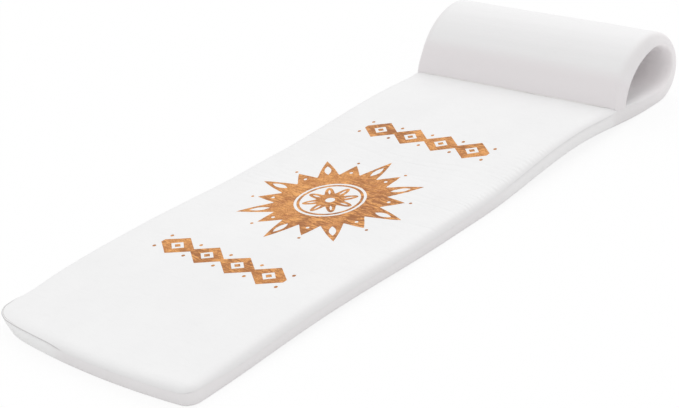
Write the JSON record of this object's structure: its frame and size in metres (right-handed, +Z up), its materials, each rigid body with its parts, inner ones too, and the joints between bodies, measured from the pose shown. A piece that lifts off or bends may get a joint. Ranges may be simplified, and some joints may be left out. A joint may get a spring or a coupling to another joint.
{
  "type": "swim float mat",
  "caption": "Long soft foam pool float in a pale vinyl coating, rolled over at one end into a hollow pillow, with a printed pattern on its deck.",
  "frame": {"origin": "middle of the mat's plan, on the surface that it lies on", "axes": "+Y along the mat towards the pillow, +X across it to the right, +Z up"},
  "size_m": [0.66, 1.7778, 0.1924],
  "materials": {
    "foam": "matt closed-cell foam",
    "top_vinyl": "satin, finely wrinkled",
    "bottom_vinyl": "satin, finely wrinkled",
    "pillow_vinyl": "satin, smooth",
    "glue": "dull",
    "copper_ink": "metallic ink, brushed look"
  },
  "bodies": {
    "root": {"foam_core": "foam", "top_skin": "top_vinyl", "bottom_skin": "bottom_vinyl", "pillow_skin": "pillow_vinyl", "pillow_bond": "glue", "print_sunburst": "copper_ink", "print_rosette": "copper_ink", "print_band_foot": "copper_ink", "print_band_head": "copper_ink"}
  },
  "joints": []
}
